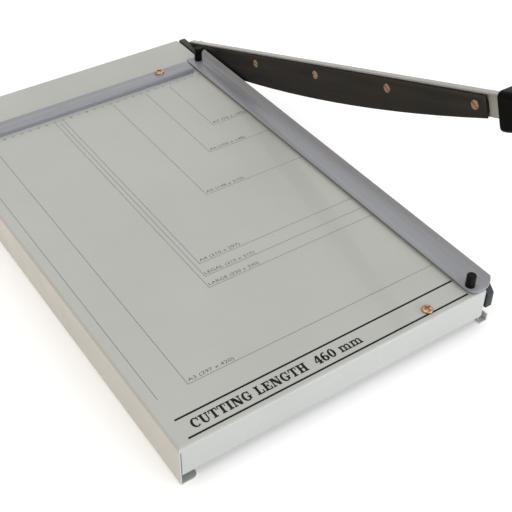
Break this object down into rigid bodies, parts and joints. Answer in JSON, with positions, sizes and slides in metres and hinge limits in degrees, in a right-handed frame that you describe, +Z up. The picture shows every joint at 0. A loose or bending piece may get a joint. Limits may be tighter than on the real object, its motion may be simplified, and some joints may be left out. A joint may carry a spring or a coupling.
{
  "type": "guillotine paper cutter",
  "caption": "Guillotine paper cutter: folded steel table with printed paper sizes, rear fence, sprung clamp bar and a curved knife on a hinged arm with a moulded handle",
  "frame": {"origin": "bottom centre of the whole cutter's bounding box with the arm raised as at rest, on the surface it stands on", "axes": "+Z up; +Y from the front of the table to the rear fence and the pivot; +X from the table to the knife side, so the arm is on the +X side"},
  "size_m": [0.3616, 0.6444, 0.2708],
  "materials": {
    "table_paint": "light grey baked enamel with a slight green cast, satin",
    "grey_paint": "mid grey satin enamel",
    "arm_paint": "light grey satin enamel",
    "black_steel": "oil-blackened ground steel",
    "blade_steel": "dark hardened tool steel, ground at the cutting edge",
    "zinc_steel": "bright zinc plate",
    "spring_steel": "tempered spring steel",
    "copper_screw": "coppered steel screw heads",
    "bronze": "plain bronze bearing",
    "white_nylon": "natural nylon",
    "black_plastic": "black moulded plastic",
    "handle_plastic": "black moulded plastic, slightly glossy"
  },
  "bodies": {
    "base": {"table": "table_paint", "bed_knife": "black_steel", "bed_knife_screws": "zinc_steel", "fence": "grey_paint", "fence_screws": "copper_screw", "fence_nuts": "zinc_steel", "front_spring_screw": "copper_screw", "front_spring_nut": "zinc_steel", "front_leaf_spring": "spring_steel", "rear_leaf_spring": "spring_steel", "guide_bushes": "white_nylon", "pivot_bolt": "zinc_steel", "wave_washer": "spring_steel", "pivot_washer": "zinc_steel", "pivot_lock_nut": "zinc_steel"},
    "clamp": {"clamp_bar": "grey_paint", "guide_studs": "black_plastic", "stud_clips": "spring_steel"},
    "arm_body": {"arm": "arm_paint", "pivot_bush": "bronze", "blade": "blade_steel", "blade_screws": "copper_screw", "handle": "handle_plastic", "handle_screws": "zinc_steel", "handle_nuts": "zinc_steel"}
  },
  "joints": [
    {"name": "arm_pivot", "type": "hinge", "parent": "base", "child": "arm_body", "pos_m": [0.16373, 0.30173, 0.0335], "axis": [-1, 0, 0], "range_deg": [-20, 40]},
    {"name": "clamp_press", "type": "slide", "parent": "base", "child": "clamp", "axis": [0, 0, 1], "range_m": [-0.0015, 0], "stiffness_N_per_m": 900, "springref_m": 0.006, "deforming": ["front_leaf_spring", "rear_leaf_spring"]}
  ]
}
